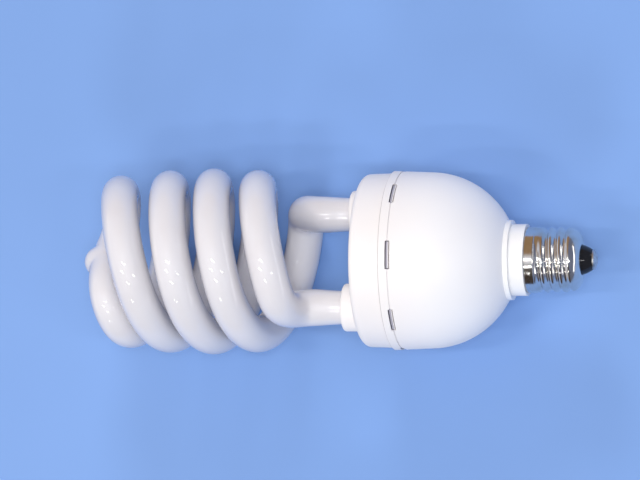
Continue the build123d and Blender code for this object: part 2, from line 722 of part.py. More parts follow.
def make_parts():
    """Every piece by its own name, on the lamp's axis."""
    parts = {
        "spiral_tube": spiral_tube(),
        "tube_cover": tube_cover(),
        "ballast_bowl": ballast_bowl(),
        "cap_collar": cap_collar(),
        "cap_shell": cap_shell(),
        "cap_insulator": cap_insulator(),
        "centre_contact": centre_contact(),
        "circuit_board": circuit_board(),
        "bulk_capacitor": bulk_capacitor(),
        "choke_core": choke_core(),
        "choke_bobbin": choke_bobbin(),
        "choke_winding": choke_winding(),
        "drive_transformer": drive_transformer(),
        "filter_choke": filter_choke(),
        "filter_winding": filter_winding(),
        "input_fuse": input_fuse(),
        "thermistor": thermistor(),
        "line_wire": line_wire(),
        "neutral_wire": neutral_wire(),
    }
    number = 1
    for clock in (LEG_CLOCK, LEG_CLOCK + 180):
        parts[f"tube_cement_{(number + 1) // 2}"] = cement_ring(clock)
        for side in (-1, 1):
            parts[f"wrap_post_{number}"] = wrap_post(clock, side)
            parts[f"filament_lead_{number}"] = filament_lead(clock, side)
            number += 1
    for index in range(RING_WINDINGS):
        parts[f"drive_winding_{index + 1}"] = drive_winding(index)
    for index in range(len(FILM_PLACES)):
        parts[f"film_capacitor_{index + 1}"] = film_capacitor(index)
    for index in range(len(TRANSISTOR_PLACES)):
        parts[f"transistor_{index + 1}"] = transistor(index)
    for index in range(DIODE_COUNT):
        parts[f"rectifier_diode_{index + 1}"] = rectifier_diode(index)
    return parts


def resting_place(parts):
    """The lamp lies on its bowl rim and on the turn of its coil next to the legs."""
    touch_x = coil_x(-90.0)
    drop = coil_radius(touch_x) + TUBE_RADIUS - bowl_radius(COVER_BAND)
    turn = Rot(Y=math.degrees(math.atan2(drop, COVER_BAND - touch_x)))
    box = Compound([turn * shape for shape in parts.values()]).bounding_box()
    return Pos(-box.center().X, -box.center().Y, -box.min.Z) * turn


os.makedirs("parts", exist_ok=True)
lamp = make_parts()
place = resting_place(lamp)
for name, shape in lamp.items():
    export_step(place * shape, f"parts/{name}.step")
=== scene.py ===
import json
import math

import bmesh
import bpy
from bpy.props import FloatProperty, FloatVectorProperty, PointerProperty
from mathutils import Matrix, Vector


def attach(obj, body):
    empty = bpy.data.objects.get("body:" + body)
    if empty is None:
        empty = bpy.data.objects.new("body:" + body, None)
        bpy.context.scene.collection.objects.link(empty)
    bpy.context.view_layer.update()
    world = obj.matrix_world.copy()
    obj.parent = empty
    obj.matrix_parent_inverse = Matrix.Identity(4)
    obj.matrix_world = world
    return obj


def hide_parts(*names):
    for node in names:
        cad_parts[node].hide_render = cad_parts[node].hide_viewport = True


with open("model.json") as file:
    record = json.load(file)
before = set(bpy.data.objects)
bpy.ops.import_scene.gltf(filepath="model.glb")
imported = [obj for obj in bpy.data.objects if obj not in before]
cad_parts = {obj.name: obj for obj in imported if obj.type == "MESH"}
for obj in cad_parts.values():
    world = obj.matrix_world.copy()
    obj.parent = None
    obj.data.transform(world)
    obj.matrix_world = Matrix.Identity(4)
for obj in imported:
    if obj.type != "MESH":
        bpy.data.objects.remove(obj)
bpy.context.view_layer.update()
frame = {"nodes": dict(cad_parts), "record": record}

bl_info = {
    "name": "Spiral energy saving lamp",
    "version": (1, 0, 0),
    "blender": (4, 5, 0),
    "location": "3D View > Sidebar > Lamp",
    "description": "Dresses the packed lamp: glass spiral, housing, screw cap, ballast and studio",
    "category": "Object",
}

MM = 0.001
WELD_DISTANCE = 0.001 * MM

# The lamp's own axis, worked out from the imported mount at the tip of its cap.
# x = 0 is the face of the housing that carries the tube, and a clock angle turns from +Y towards +Z.
TIP_REACH = 94.7514 * MM
tip_mount = next(m for m in frame["record"]["mounts"] if m["name"] == "centre_contact_face")
lamp_axis = Vector(tip_mount["axis"]).normalized()
lamp_origin = Vector(tip_mount["pos_m"]) - lamp_axis * TIP_REACH
lamp_across = Vector((0.0, 1.0, 0.0))
lamp_up = lamp_axis.cross(lamp_across)
lamp_turn = Matrix((lamp_axis, lamp_across, lamp_up)).transposed()
LAMP_PLACE = Matrix.Translation(lamp_origin) @ lamp_turn.to_4x4()
TO_LAMP = LAMP_PLACE.inverted()

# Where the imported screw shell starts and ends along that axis, and its greatest radius
shell_points = [TO_LAMP @ vertex.co for vertex in frame["nodes"]["cap_shell"].data.vertices]
SHELL_START = min(point.x for point in shell_points)
SHELL_END = max(point.x for point in shell_points)
BAND_RADIUS = max(math.hypot(point.y, point.z) for point in shell_points)


def length(name, description, default):
    """A property that holds a size in metres."""
    return FloatProperty(name=name, description=description, default=default, subtype="DISTANCE",
                         unit="LENGTH")


def colour(name, description, default):
    """A property that holds a colour."""
    return FloatVectorProperty(name=name, description=description, default=default, subtype="COLOR",
                               size=3, min=0, max=1)


class TubeSettings(bpy.types.PropertyGroup):
    """The glass spiral: two limbs wound as one double spiral, joined at the crown."""

    tube_radius: length("Tube radius", "Outer radius of the glass tube in the coil", 7.5 * MM)
    leg_radius: length("Leg radius", "Outer radius of the slimmer legs", 6.85 * MM)
    coil_radius: length("Coil radius", "Radius of the coil's centre line at its widest", 30.9 * MM)
    crown_shrink: length("Crown shrink", "How much narrower the coil is at the crown", 2.5 * MM)
    leg_shrink: length("Leg shrink", "How much narrower the coil is beside the legs", 0.9 * MM)
    pitch: length("Pitch", "How far one limb goes along the axis in a full turn", 37.4 * MM)
    last_top: length("Last top", "Where the last turn passes its top, along the axis", -44.9 * MM)
    colour: colour("Coating", "Colour of the white coating inside the glass", (0.73, 0.715, 0.74))
    # Painted shade: this tone darkens the tube towards its silhouette edges, giving the strands their
    # contour, and in part stands for the thicker glass seen edge-on.
    edge_shade_colour: colour("Glass edge", "Tone of the thicker glass along the tube's edges", (0.50, 0.47, 0.56))


class HousingSettings(bpy.types.PropertyGroup):
    """The ballast housing and the collar of the cap."""

    cover_colour: colour("Cover", "Colour of the cover that holds the tube", (0.86, 0.83, 0.82))
    bowl_colour: colour("Bowl", "Colour of the bowl of the housing", (0.86, 0.86, 0.88))
    collar_colour: colour("Collar", "Colour of the glossy collar", (0.89, 0.89, 0.89))
    grain: length("Grain", "Height of the moulded grain", 0.03 * MM)


class CapSettings(bpy.types.PropertyGroup):
    """The screw shell, its glass ring and its contact."""

    thread_pitch: length("Thread pitch", "How far the thread goes in one turn", 3.629 * MM)
    thread_depth: length("Thread depth", "Depth of the rolled groove", 0.97 * MM)
    metal_colour: colour("Metal", "Colour of the screw shell", (0.78, 0.76, 0.73))
    ring_colour: colour("Glass ring", "Colour of the black glass ring", (0.012, 0.012, 0.014))
    contact_colour: colour("Contact", "Colour of the tinned contact", (0.66, 0.66, 0.65))


class BallastSettings(bpy.types.PropertyGroup):
    """Colours of what is inside the housing."""

    board_colour: colour("Board", "Colour of the circuit board", (0.42, 0.28, 0.12))
    wire_colour: colour("Winding wire", "Colour of the enamelled copper", (0.45, 0.16, 0.06))


class StudioSettings(bpy.types.PropertyGroup):
    """The floor, the light and the camera."""

    floor_colour: colour("Floor", "Colour of the pale floor", (0.20, 0.36, 0.72))
    camera_distance: length("Camera distance", "From the camera to the lamp's middle", 1188.0 * MM)
    camera_tilt: FloatProperty(name="Camera tilt", default=math.radians(13.34), subtype="ANGLE",
                               description="Lean of the view from square on to the lamp", unit="ROTATION")
    camera_roll: FloatProperty(name="Camera roll", description="Turn of the picture", default=0.006,
                               subtype="ANGLE", unit="ROTATION")
    lens: FloatProperty(name="Lens", description="Focal length", default=163.9, subtype="DISTANCE_CAMERA",
                        unit="CAMERA")
    key_power: FloatProperty(name="Key light", description="Power of the main soft light", default=5.9,
                             min=0, subtype="POWER", unit="POWER")
    spot_power: FloatProperty(name="Small lamps", description="Power of each small ceiling lamp",
                              default=1.6, min=0, subtype="POWER", unit="POWER")


# Shader expressions

class Signal:
    """A shader socket that can stand in a sum, product or power."""

    def __init__(self, recipe, socket):
        self.recipe = recipe
        self.socket = socket

    def _join(self, operation, first, second):
        return self.recipe.node("ShaderNodeMath", {"operation": operation}, {0: first, 1: second})

    def __add__(self, other):
        return self._join("ADD", self, other)

    def __radd__(self, other):
        return self._join("ADD", other, self)

    def __sub__(self, other):
        return self._join("SUBTRACT", self, other)

    def __rsub__(self, other):
        return self._join("SUBTRACT", other, self)

    def __mul__(self, other):
        return self._join("MULTIPLY", self, other)

    def __rmul__(self, other):
        return self._join("MULTIPLY", other, self)

    def __truediv__(self, other):
        return self._join("DIVIDE", self, other)

    def __rtruediv__(self, other):
        return self._join("DIVIDE", other, self)

    def __pow__(self, other):
        return self._join("POWER", self, other)

    def __rpow__(self, other):
        return self._join("POWER", other, self)


class Recipe:
    """The nodes of one material or of the world, laid down as expressions."""

    # A Mix node has a set of sockets for each kind of data; these are the ones for colour
    MIX_COLOURS = (6, 7)
    MIX_RESULT = 2

    def __init__(self, owner):
        owner.use_nodes = True
        self.owner = owner
        self.tree = owner.node_tree
        self.tree.nodes.clear()

    def node(self, kind, settings=None, inputs=None, output=0):
        """Adds a node, sets it up, fills its sockets and returns one of its outputs."""
        made = self.tree.nodes.new(kind)
        for name, value in (settings or {}).items():
            setattr(made, name, value)
        for name, value in (inputs or {}).items():
            if isinstance(value, Signal):
                self.tree.links.new(value.socket, made.inputs[name])
            else:
                made.inputs[name].default_value = value
        return Signal(self, made.outputs[output]) if len(made.outputs) else None

    def place(self):
        """The point on the surface, in the object's own coordinates."""
        return self.node("ShaderNodeTexCoord", output="Object")

    def lamp_place(self):
        """The same point, measured along and across the lamp's own axis."""
        return self.node("ShaderNodeMapping", {"vector_type": "POINT"},
                         {"Vector": self.place(), "Location": TO_LAMP.translation,
                          "Rotation": TO_LAMP.to_euler()})

    def part(self, vector, axis):
        """One coordinate of a vector."""
        return self.node("ShaderNodeSeparateXYZ", inputs={"Vector": vector}, output=axis)

    def stretched(self, vector, amounts):
        """A vector with each of its coordinates multiplied by a number."""
        return self.node("ShaderNodeVectorMath", {"operation": "MULTIPLY"}, {0: vector, 1: amounts})

    def noise(self, vector, scale, detail=2.0, roughness=0.5):
        """Soft random values about one half."""
        return self.node("ShaderNodeTexNoise", inputs={"Vector": vector, "Scale": scale,
                                                       "Detail": detail, "Roughness": roughness})

    def between(self, value, low, high, first=0.0, last=1.0):
        """Carries a value that runs from low to high over to first to last, and holds it there."""
        return self.node("ShaderNodeMapRange", {"clamp": True, "interpolation_type": "SMOOTHSTEP"},
                         {"Value": value, "From Min": low, "From Max": high,
                          "To Min": first, "To Max": last})

    def blend(self, share, first, second):
        """A colour between two colours."""
        colours = {socket: value if isinstance(value, Signal) else (*value, 1.0)
                   for socket, value in zip(self.MIX_COLOURS, (first, second))}
        return self.node("ShaderNodeMix", {"data_type": "RGBA"}, {0: share, **colours},
                         output=self.MIX_RESULT)

    def bump(self, height, strength, distance):
        """A surface normal that follows a height."""
        return self.node("ShaderNodeBump", inputs={"Height": height, "Strength": strength,
                                                   "Distance": distance})

    def surface(self, **inputs):
        """The shader that all the pieces share."""
        named = {name.replace("_", " ").title().replace("Ior", "IOR"): value
                 for name, value in inputs.items()}
        shader = self.node("ShaderNodeBsdfPrincipled", inputs=named)
        self.node("ShaderNodeOutputMaterial", inputs={"Surface": shader})
        return self.owner


def new_recipe(name):
    """An empty recipe for a new material."""
    return Recipe(bpy.data.materials.new(name))


def toned(colour_value, *shares):
    """A colour with its three channels multiplied by a share each, or all by the same share."""
    return [channel * share for channel, share in zip(colour_value, shares * 3)]


# Finishes

# Where shade is painted on the housing: a thin painted shadow line beside the cover's edge, and painted
# shade in the windows of its snap tabs.
# The windows' floor is a radius in mm, and so is the width over which the painted shade thins out above it.
SEAM_PLACE = 12.6 * MM
SEAM_SHADE = (0.42, 0.38, 0.39)
WINDOW_PLACE = 15.98 * MM
WINDOW_FLOOR = 35.80
WINDOW_FADE = 0.15
WINDOW_COUNT = 8
WINDOW_CLOCK = math.radians(41.0)
WINDOW_SHADE = (0.29, 0.28, 0.35)


def coated_glass(settings):
    """Clear glass over an opaque white powder coating, with the faint waves of drawn tube."""
    recipe = new_recipe("coated_glass")
    place = recipe.place()
    cloud = recipe.noise(place, scale=55.0, detail=4.0, roughness=0.55)
    powder = recipe.noise(place, scale=1400.0, detail=3.0, roughness=0.6)
    wave = recipe.noise(place, scale=120.0, detail=1.0, roughness=0.4)
    thin = recipe.between(cloud, low=0.42, high=0.75, last=0.55)
    thin += recipe.between(powder, low=0.5, high=0.8, last=0.12)
    powdered = recipe.blend(thin, settings.colour, toned(settings.colour, 0.96, 0.94, 0.93))
    # Painted shade: the coating darkens towards the tube's edges by the facing angle, giving the strands
    # their contour; in part it stands for the thicker glass seen there.
    facing = recipe.node("ShaderNodeLayerWeight", inputs={"Blend": 0.5}, output="Facing")
    edge = recipe.between(facing, low=0.45, high=0.95, last=0.45)
    return recipe.surface(
        base_color=recipe.blend(edge, powdered, settings.edge_shade_colour),
        roughness=0.34 + powder * 0.16,
        coat_weight=1.0,
        coat_roughness=0.02,
        coat_ior=1.5,
        normal=recipe.bump(wave + powder * 0.02, strength=0.10, distance=0.6 * MM),
    )


def moulded_plastic(settings):
    """Satin white plastic with a spark-eroded grain, a painted shadow line at its seam and painted shade in
    its windows.
    """
    recipe = new_recipe("moulded_plastic")
    place = recipe.place()
    lamp_place = recipe.lamp_place()
    along = recipe.part(lamp_place, "X")
    across = recipe.part(lamp_place, "Y") / MM
    upward = recipe.part(lamp_place, "Z") / MM
    cloud = recipe.noise(place, scale=38.0, detail=3.0, roughness=0.5)
    grain = recipe.noise(place, scale=3600.0, detail=2.0, roughness=0.6)
    dust = recipe.noise(place, scale=420.0, detail=4.0, roughness=0.7)
    from_cover = recipe.between(along, low=10.0 * MM, high=45.0 * MM)
    body = recipe.blend(from_cover, settings.cover_colour, settings.bowl_colour)
    spots = recipe.between(dust, low=0.66, high=0.74, last=0.35)
    spots += recipe.between(cloud, low=0.45, high=0.8, last=0.25)
    clean = recipe.blend(spots, body, toned(settings.cover_colour, 0.93))
    # Painted shadow: a thin dark line where the bowl steps out beside the cover's edge, standing in for the
    # shadow of that step.
    from_seam = (along - SEAM_PLACE) / MM
    seam = recipe.between(from_seam ** 2, low=0.02, high=0.09, first=0.75, last=0.0)
    lined = recipe.blend(seam, clean, SEAM_SHADE)
    clock = recipe.node("ShaderNodeMath", {"operation": "ARCTAN2"}, {0: upward, 1: across})
    beat_angle = (clock - WINDOW_CLOCK) * WINDOW_COUNT
    beat = recipe.node("ShaderNodeMath", {"operation": "COSINE"}, {0: beat_angle})
    from_window = (along - WINDOW_PLACE) / MM
    sunk = recipe.between(across ** 2 + upward ** 2, low=WINDOW_FLOOR ** 2,
                          high=(WINDOW_FLOOR + WINDOW_FADE) ** 2, first=1.0, last=0.0)
    window = recipe.between(from_window ** 2, low=0.30, high=0.45, first=1.0, last=0.0) * sunk
    # Painted shade: the sunk windows of the snap tabs are darkened, most in the middle of each window,
    # standing in for the shade in the recess.
    window_shade = window * recipe.between(beat, low=0.22, high=0.34, first=0.22, last=0.85)
    return recipe.surface(
        base_color=recipe.blend(window_shade, lined, WINDOW_SHADE),
        roughness=0.36 + cloud * 0.12 + grain * 0.06,
        specular_ior_level=0.5,
        normal=recipe.bump(grain, strength=0.22, distance=settings.grain),
    )


def polished_plastic(settings):
    """The collar's glossier white plastic, with faint wiping marks."""
    recipe = new_recipe("polished_plastic")
    place = recipe.lamp_place()
    drawn = recipe.stretched(place, (1.0, 0.12, 0.12))
    streak = recipe.noise(drawn, scale=900.0, detail=3.0, roughness=0.6)
    cloud = recipe.noise(place, scale=90.0)
    worn = recipe.between(cloud, low=0.4, high=0.8, last=0.5)
    return recipe.surface(
        base_color=recipe.blend(worn, settings.collar_colour, toned(settings.collar_colour, 0.94)),
        roughness=0.16 + streak * 0.14,
        normal=recipe.bump(cloud + streak * 0.05, strength=0.08, distance=0.4 * MM),
    )


def rolled_metal(settings):
    """Bright rolled shell: draw marks round it, a warm tarnish and small dark specks."""
    recipe = new_recipe("rolled_metal")
    place = recipe.lamp_place()
    drawn = recipe.stretched(place, (1.0, 0.03, 0.03))
    marks = recipe.noise(drawn, scale=4200.0, detail=3.0, roughness=0.65)
    tarnish = recipe.noise(place, scale=160.0, detail=5.0, roughness=0.62)
    specks = recipe.noise(place, scale=900.0)
    metal = settings.metal_colour
    yellowed = recipe.between(tarnish, low=0.42, high=0.72, last=0.6)
    aged = recipe.blend(yellowed, metal, toned(metal, 0.86, 0.76, 0.62))
    speckled = recipe.between(specks, low=0.68, high=0.76, last=0.6)
    return recipe.surface(
        base_color=recipe.blend(speckled, aged, toned(metal, 0.45)),
        metallic=1.0,
        roughness=0.10 + marks * 0.12 + recipe.between(tarnish, low=0.5, high=0.8, last=0.12),
        normal=recipe.bump(marks, strength=0.12, distance=0.02 * MM),
    )


def black_glass(settings):
    """The glossy black glass ring, with chill marks from its mould."""
    recipe = new_recipe("black_glass")
    place = recipe.place()
    ripple = recipe.noise(place, scale=420.0)
    dust = recipe.noise(place, scale=2600.0, detail=3.0, roughness=0.7)
    dust_grey = [channel + 0.05 for channel in settings.ring_colour]
    dusted = recipe.between(dust, low=0.6, high=0.75, last=0.6)
    return recipe.surface(
        base_color=recipe.blend(dusted, settings.ring_colour, dust_grey),
        roughness=0.07 + dust * 0.12,
        specular_ior_level=0.35,
        normal=recipe.bump(ripple, strength=0.25, distance=0.2 * MM),
    )


def tinned_contact(settings):
    """Dull tin over brass, scuffed where a holder's spring has touched it."""
    recipe = new_recipe("tinned_contact")
    place = recipe.place()
    lumps = recipe.noise(place, scale=700.0, detail=3.0, roughness=0.55)
    rubbed = recipe.stretched(place, (1.0, 0.15, 1.0))
    scuffs = recipe.noise(rubbed, scale=3000.0, detail=3.0, roughness=0.6)
    dulled = recipe.between(lumps, low=0.45, high=0.75, last=0.7)
    return recipe.surface(
        base_color=recipe.blend(dulled, settings.contact_colour, toned(settings.contact_colour, 0.5)),
        metallic=1.0,
        roughness=0.26 + scuffs * 0.22,
        normal=recipe.bump(lumps + scuffs * 0.2, strength=0.35, distance=0.2 * MM),
    )


def inner_finish(name, body, second, scale, roughness, metallic=0.0, coat=0.0, grain=(1.0, 1.0, 1.0)):
    """A finish for a piece inside the housing: two tones, a grain with a direction and fine dust."""
    recipe = new_recipe(name)
    place = recipe.place()
    tone = recipe.noise(recipe.stretched(place, grain), scale, detail=4.0, roughness=0.6)
    dust = recipe.noise(place, scale * 9.0, detail=2.0, roughness=0.6)
    return recipe.surface(
        base_color=recipe.blend(recipe.between(tone, low=0.35, high=0.68), body, second),
        metallic=metallic,
        roughness=roughness + dust * 0.15,
        coat_weight=coat,
        coat_roughness=0.12,
        normal=recipe.bump(tone + dust * 0.3, strength=0.3, distance=0.08 * MM),
    )


def ballast_finishes(settings):
    """One finish for each of the record's material slots that is used inside the housing."""
    # Two tones, the scale of the grain and the roughness
    tones = {
        "board_laminate": (settings.board_colour, (0.30, 0.19, 0.08), 260.0, 0.45),
        "capacitor_can": ((0.02, 0.025, 0.05), (0.03, 0.04, 0.08), 120.0, 0.25),
        "ferrite": ((0.045, 0.045, 0.048), (0.09, 0.088, 0.085), 600.0, 0.55),
        "bobbin_plastic": ((0.02, 0.02, 0.02), (0.035, 0.035, 0.035), 300.0, 0.4),
        "copper_wire": (settings.wire_colour, (0.62, 0.27, 0.10), 900.0, 0.25),
        "fuse_coat": ((0.25, 0.34, 0.22), (0.32, 0.40, 0.26), 500.0, 0.4),
        "thermistor_coat": ((0.40, 0.08, 0.04), (0.52, 0.13, 0.07), 400.0, 0.35),
        "wire_cover": ((0.72, 0.72, 0.70), (0.60, 0.60, 0.58), 500.0, 0.35),
        "lead_wire": ((0.60, 0.60, 0.60), (0.42, 0.42, 0.42), 1500.0, 0.25),
        "cement": ((0.72, 0.70, 0.64), (0.60, 0.57, 0.50), 700.0, 0.75),
        "film_coat": ((0.42, 0.05, 0.03), (0.50, 0.09, 0.05), 240.0, 0.2),
        "package_plastic": ((0.02, 0.02, 0.022), (0.04, 0.04, 0.042), 800.0, 0.5),
    }
    extras = {
        "capacitor_can": {"coat": 0.5},
        "copper_wire": {"metallic": 0.8, "grain": (1.0, 0.05, 0.05)},
        "lead_wire": {"metallic": 1.0},
        "film_coat": {"coat": 0.6},
    }
    return {slot: inner_finish(slot, *row, **extras.get(slot, {})) for slot, row in tones.items()}


def floor_finish(settings):
    """A plain pale sheet with the faintest cloudiness."""
    recipe = new_recipe("pale_floor")
    cloud = recipe.noise(recipe.place(), scale=6.0, detail=3.0)
    clouded = recipe.between(cloud, low=0.3, high=0.7)
    return recipe.surface(
        base_color=recipe.blend(clouded, settings.floor_colour, toned(settings.floor_colour, 0.94)),
        roughness=0.55 + cloud * 0.1,
    )


# Shaping

def clock_point(radius, clock, x=0.0):
    """A point at a radius and clock angle round the lamp's axis, in the lamp's own frame."""
    return Vector((x, radius * math.cos(clock), radius * math.sin(clock)))


def ease(share):
    """An even start and stop between 0 and 1."""
    share = min(max(share, 0.0), 1.0)
    return share * share * (3 - 2 * share)


def keep(name, mesh, slot, finish, *nodes):
    """Makes a piece of a mesh that already lies in the row frame, and lets it stand for CAD nodes."""
    mesh.polygons.foreach_set("use_smooth", [True] * len(mesh.polygons))
    mesh.materials.clear()
    mesh.materials.append(finish)
    piece = bpy.data.objects.new(name, mesh)
    bpy.context.scene.collection.objects.link(piece)
    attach(piece, "root")
    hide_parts(*nodes)


def lathe(outline, steps):
    """Spins an outline of (x, radius) points about the lamp's axis into a closed solid."""
    shape = bmesh.new()
    corners = [shape.verts.new((x, radius, 0.0)) for x, radius in outline]
    edges = [shape.edges.new(pair) for pair in zip(corners, corners[1:])]
    bmesh.ops.spin(shape, geom=corners + edges, cent=(0, 0, 0), axis=(1, 0, 0), dvec=(0, 0, 0),
                   angle=math.tau, steps=steps, use_merge=True, use_normal_flip=False, use_duplicate=False)
    bmesh.ops.remove_doubles(shape, verts=shape.verts, dist=WELD_DISTANCE)
    bmesh.ops.recalc_face_normals(shape, faces=shape.faces)
    return shape


def arc(centre, radius, start, end, steps):
    """Points on a round stretch of an outline; angles run from +X towards greater radius."""
    points = []
    for index in range(steps + 1):
        angle = start + (end - start) * index / steps
        points.append((centre[0] + radius * math.cos(angle), centre[1] + radius * math.sin(angle)))
    return points


def straight(start, end, steps):
    """Points along a straight stretch of an outline, without its last point."""
    return [tuple(a + (b - a) * index / steps for a, b in zip(start, end)) for index in range(steps)]


def into_row(shape, name):
    """Carries a shape from the lamp's own frame to the row frame and writes it to a mesh."""
    bmesh.ops.transform(shape, matrix=LAMP_PLACE, verts=shape.verts)
    mesh = bpy.data.meshes.new(name)
    shape.to_mesh(mesh)
    shape.free()
    return mesh


# The glass spiral

HALF_TURNS = 3
LEG_CLOCK = math.radians(157.0)
LEG_CIRCLE = 20.5 * MM
LEG_END_CLOCK = math.radians(112.0)
LEG_END_GAIN = 1.4 * MM
LEG_START = -18.1 * MM
LEG_TAPER = 8.5 * MM
LEG_DEPTH = 10.5 * MM
LEG_END_ROUND = 3.0 * MM
BEND_REACH_COIL = 12.5 * MM
BEND_REACH_LEG = 12.0 * MM
CROWN_BEND = 12.0 * MM
CROWN_DROP = 7.2 * MM
CROWN_STRETCH = 0.7 * MM
CROWN_LEAN = 1.9 * MM
POINT_GAP = 4.0 * MM
NOSE_RADIUS = 6.3 * MM
NOSE_RISE = 2.9 * MM
# How far out the glass is drawn and over what width that fades, as shares of the nose's radius
NOSE_REACH = 1.25
NOSE_FADE = 0.35
# How nearly the nose's dome is a full half ball
NOSE_FULLNESS = 0.97
# How many points lie along the leg's bend, its straight run and its rounded end
LEG_BEND_POINTS = 9
LEG_POINTS = 8
LEG_END_POINTS = 5
# How finely the curve is drawn, round it and along it
BEVEL_RESOLUTION = 11
CURVE_RESOLUTION = 5
CURVE_ORDER = 4


def turn_radius(settings, x):
    """The coil is slightly barrelled: widest in its middle, smaller at crown and legs."""
    half = settings.pitch / 2
    middle = settings.last_top - half
    if x < middle:
        share = min((middle - x) / (HALF_TURNS * half - half), 1.0)
        return settings.coil_radius - settings.crown_shrink * share ** 2
    return settings.coil_radius - settings.leg_shrink * min((x - middle) / half, 1.0) ** 2


def turn_place(settings, clock):
    """How far along the axis a limb has come at a clock angle."""
    x = settings.last_top + settings.pitch * clock / math.tau
    crown_clock = -math.pi * HALF_TURNS
    gain = LEG_END_GAIN * ease(clock / LEG_END_CLOCK)
    return x + gain - CROWN_STRETCH * ease((crown_clock + math.pi - clock) / math.pi)


def crown_line(settings):
    """From the axis out to the first turn: a straight run, then a bend into the coil."""
    start_clock = -math.pi * HALF_TURNS
    start_radius = turn_radius(settings, settings.last_top + settings.pitch * start_clock / math.tau)
    offset = start_radius - CROWN_BEND
    run = math.sqrt(offset ** 2 - CROWN_BEND ** 2)
    reach = math.atan2(CROWN_BEND, run)
    bend_angle = math.pi / 2 + reach
    total = run + CROWN_BEND * bend_angle
    slope = settings.pitch / (math.tau * start_radius) * total

    def depth(travelled):
        share = 1 - travelled / total
        drop = slope * share * (1 - share) ** 2 + CROWN_DROP * ease(share)
        return turn_place(settings, start_clock) - drop

    points = []
    for index in range(round(run / POINT_GAP)):
        travelled = run * index / round(run / POINT_GAP)
        points.append(clock_point(travelled, start_clock - reach, depth(travelled)))
    centre = clock_point(offset, start_clock)
    steps = round(CROWN_BEND * bend_angle / POINT_GAP)
    for index in range(steps):
        share = index / steps
        place = centre + clock_point(CROWN_BEND, start_clock - bend_angle * (1 - share))
        points.append(Vector((depth(run + CROWN_BEND * bend_angle * share), place.y, place.z)))
    return points


def leg_line(settings):
    """From the last turn inwards and round into the straight leg, as one even bend."""
    radius = turn_radius(settings, settings.last_top + settings.pitch * LEG_END_CLOCK / math.tau)
    coil_end = clock_point(radius, LEG_END_CLOCK, turn_place(settings, LEG_END_CLOCK))
    before_clock = LEG_END_CLOCK - math.radians(1)
    before = clock_point(radius, before_clock, turn_place(settings, before_clock))
    leg_start = clock_point(LEG_CIRCLE, LEG_CLOCK, LEG_START)
    corners = (coil_end, coil_end + (coil_end - before).normalized() * BEND_REACH_COIL,
               leg_start - Vector((BEND_REACH_LEG, 0, 0)), leg_start)
    points = []
    for index in range(LEG_BEND_POINTS):
        share = index / LEG_BEND_POINTS
        left = 1 - share
        weights = (left ** 3, 3 * share * left ** 2, 3 * share ** 2 * left, share ** 3)
        points.append(sum((corner * weight for corner, weight in zip(corners, weights)), Vector()))
    return points


def limb_line(settings):
    """One limb's centre line from the crown to the sealed end of its leg, with the tube's radius there."""
    points = crown_line(settings)
    clock = -math.pi * HALF_TURNS
    turn = LEG_END_CLOCK - clock
    count = round(turn * settings.coil_radius / POINT_GAP)
    for index in range(count):
        here = clock + turn * index / count
        radius = turn_radius(settings, settings.last_top + settings.pitch * here / math.tau)
        points.append(clock_point(radius, here, turn_place(settings, here)))
    points += leg_line(settings)
    line = [(point, settings.tube_radius) for point in points]
    for index in range(LEG_POINTS):
        x = LEG_START + (LEG_DEPTH - LEG_END_ROUND - LEG_START) * index / LEG_POINTS
        slim = min((x - LEG_START) / LEG_TAPER, 1.0)
        radius = settings.tube_radius + (settings.leg_radius - settings.tube_radius) * slim
        line.append((clock_point(LEG_CIRCLE, LEG_CLOCK, x), radius))
    for index in range(LEG_END_POINTS):
        angle = math.pi / 2 * index / (LEG_END_POINTS - 1)
        radius = settings.leg_radius - LEG_END_ROUND * (1 - math.cos(angle))
        x = LEG_DEPTH - LEG_END_ROUND + LEG_END_ROUND * math.sin(angle)
        line.append((clock_point(LEG_CIRCLE, LEG_CLOCK, x), radius))
    return line


def leaned(settings, point):
    """The crown stands a little further out on one side, as the hand-wound tube does."""
    crown_x = settings.last_top - HALF_TURNS * settings.pitch / 2
    share = ease((crown_x + settings.pitch / 2 - point.x) / (settings.pitch / 2))
    return Vector((point.x - CROWN_LEAN * share * point.y / settings.coil_radius, point.y, point.z))


def swept_tube(line, start_radius):
    """A round tube of varying radius along a smooth curve, as a closed mesh."""
    curve = bpy.data.curves.new("tube_line", "CURVE")
    curve.dimensions = "3D"
    curve.bevel_depth = start_radius
    curve.bevel_resolution = BEVEL_RESOLUTION
    curve.use_fill_caps = True
    spline = curve.splines.new("NURBS")
    spline.points.add(len(line) - 1)
    for point, (place, radius) in zip(spline.points, line):
        point.co = (*place, 1.0)
        point.radius = radius / start_radius
    spline.order_u = CURVE_ORDER
    spline.use_endpoint_u = True
    spline.resolution_u = CURVE_RESOLUTION
    carrier = bpy.data.objects.new("tube_line", curve)
    bpy.context.scene.collection.objects.link(carrier)
    bpy.context.view_layer.update()
    evaluated = carrier.evaluated_get(bpy.context.evaluated_depsgraph_get())
    mesh = bpy.data.meshes.new_from_object(evaluated)
    bpy.data.objects.remove(carrier)
    bpy.data.curves.remove(curve)
    shape = bmesh.new()
    shape.from_mesh(mesh)
    bpy.data.meshes.remove(mesh)
    bmesh.ops.remove_doubles(shape, verts=shape.verts, dist=WELD_DISTANCE)
    bmesh.ops.recalc_face_normals(shape, faces=shape.faces)
    return shape


def raise_nose(shape, crown_x, tube_radius):
    """Draws the crown's outer wall out into the small nose where the tube was sealed."""
    reach = crown_x - tube_radius
    for vertex in shape.verts:
        point = vertex.co
        off_axis = math.hypot(point.y, point.z)
        if off_axis < NOSE_RADIUS * NOSE_REACH and point.x < crown_x:
            share = min(off_axis / NOSE_RADIUS, 1.0)
            dome = reach - NOSE_RISE + NOSE_RADIUS * (1 - math.sqrt(1 - NOSE_FULLNESS * share ** 2))
            lift = ease((NOSE_REACH - off_axis / NOSE_RADIUS) / NOSE_FADE)
            point.x = min(point.x, point.x + (dome - point.x) * lift)


